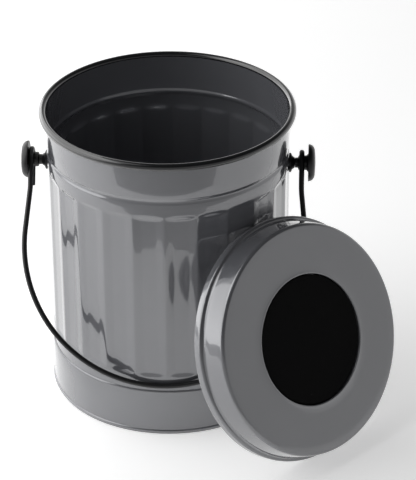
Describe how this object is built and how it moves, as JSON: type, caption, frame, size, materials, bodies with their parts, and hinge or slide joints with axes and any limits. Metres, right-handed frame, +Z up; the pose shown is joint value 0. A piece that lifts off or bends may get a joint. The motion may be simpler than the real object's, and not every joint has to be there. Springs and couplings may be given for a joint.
{
  "type": "compost caddy",
  "caption": "Fluted steel countertop compost pail with a swinging wire bail and a loose knobbed lid holding charcoal pads, leaned against it.",
  "frame": {"origin": "on the table, at the pail's axis", "axes": "+Z up along the pail's axis, +X and -X along the bail's posts, -Y to the front, where the bail hangs"},
  "size_m": [0.303, 0.2814, 0.249],
  "materials": {
    "grey_paint": "glossy baked enamel on pressed sheet steel",
    "black_paint": "semi-gloss black powder coat",
    "zinc": "bright zinc plate",
    "charcoal_felt": "matt carbon-filled felt"
  },
  "bodies": {
    "caddy": {"side_wall": "grey_paint", "base_pan": "grey_paint", "left_flange": "black_paint", "right_flange": "black_paint", "left_cap": "black_paint", "right_cap": "black_paint", "post_screws": "zinc", "post_washers": "zinc"},
    "bail": {"bail_wire": "black_paint"},
    "lid": {"lid_pan": "grey_paint", "lid_top": "grey_paint", "filter_sleeve": "grey_paint", "lid_knob": "black_paint", "knob_screw": "zinc", "knob_washer": "zinc"},
    "filters": {"filter_lower": "charcoal_felt", "filter_upper": "charcoal_felt"}
  },
  "joints": [
    {"name": "bail_swing", "type": "hinge", "parent": "caddy", "child": "bail", "pos_m": [0, 0, 0.1989], "axis": [-1, 0, 0], "range_deg": [0, 293.1]},
    {"name": "lid_lift", "type": "slide", "parent": "caddy", "child": "lid", "axis": [0.666, -0.6405, 0.3824], "range_m": [0, 0.45]},
    {"name": "filter_out", "type": "slide", "parent": "lid", "child": "filters", "axis": [0.666, -0.6405, 0.3824], "range_m": [0, 0.04]}
  ],
  "couplings": [
    {"joint": "lid_lift", "follows": "bail_swing", "m_per_rad": 0.0879}
  ]
}
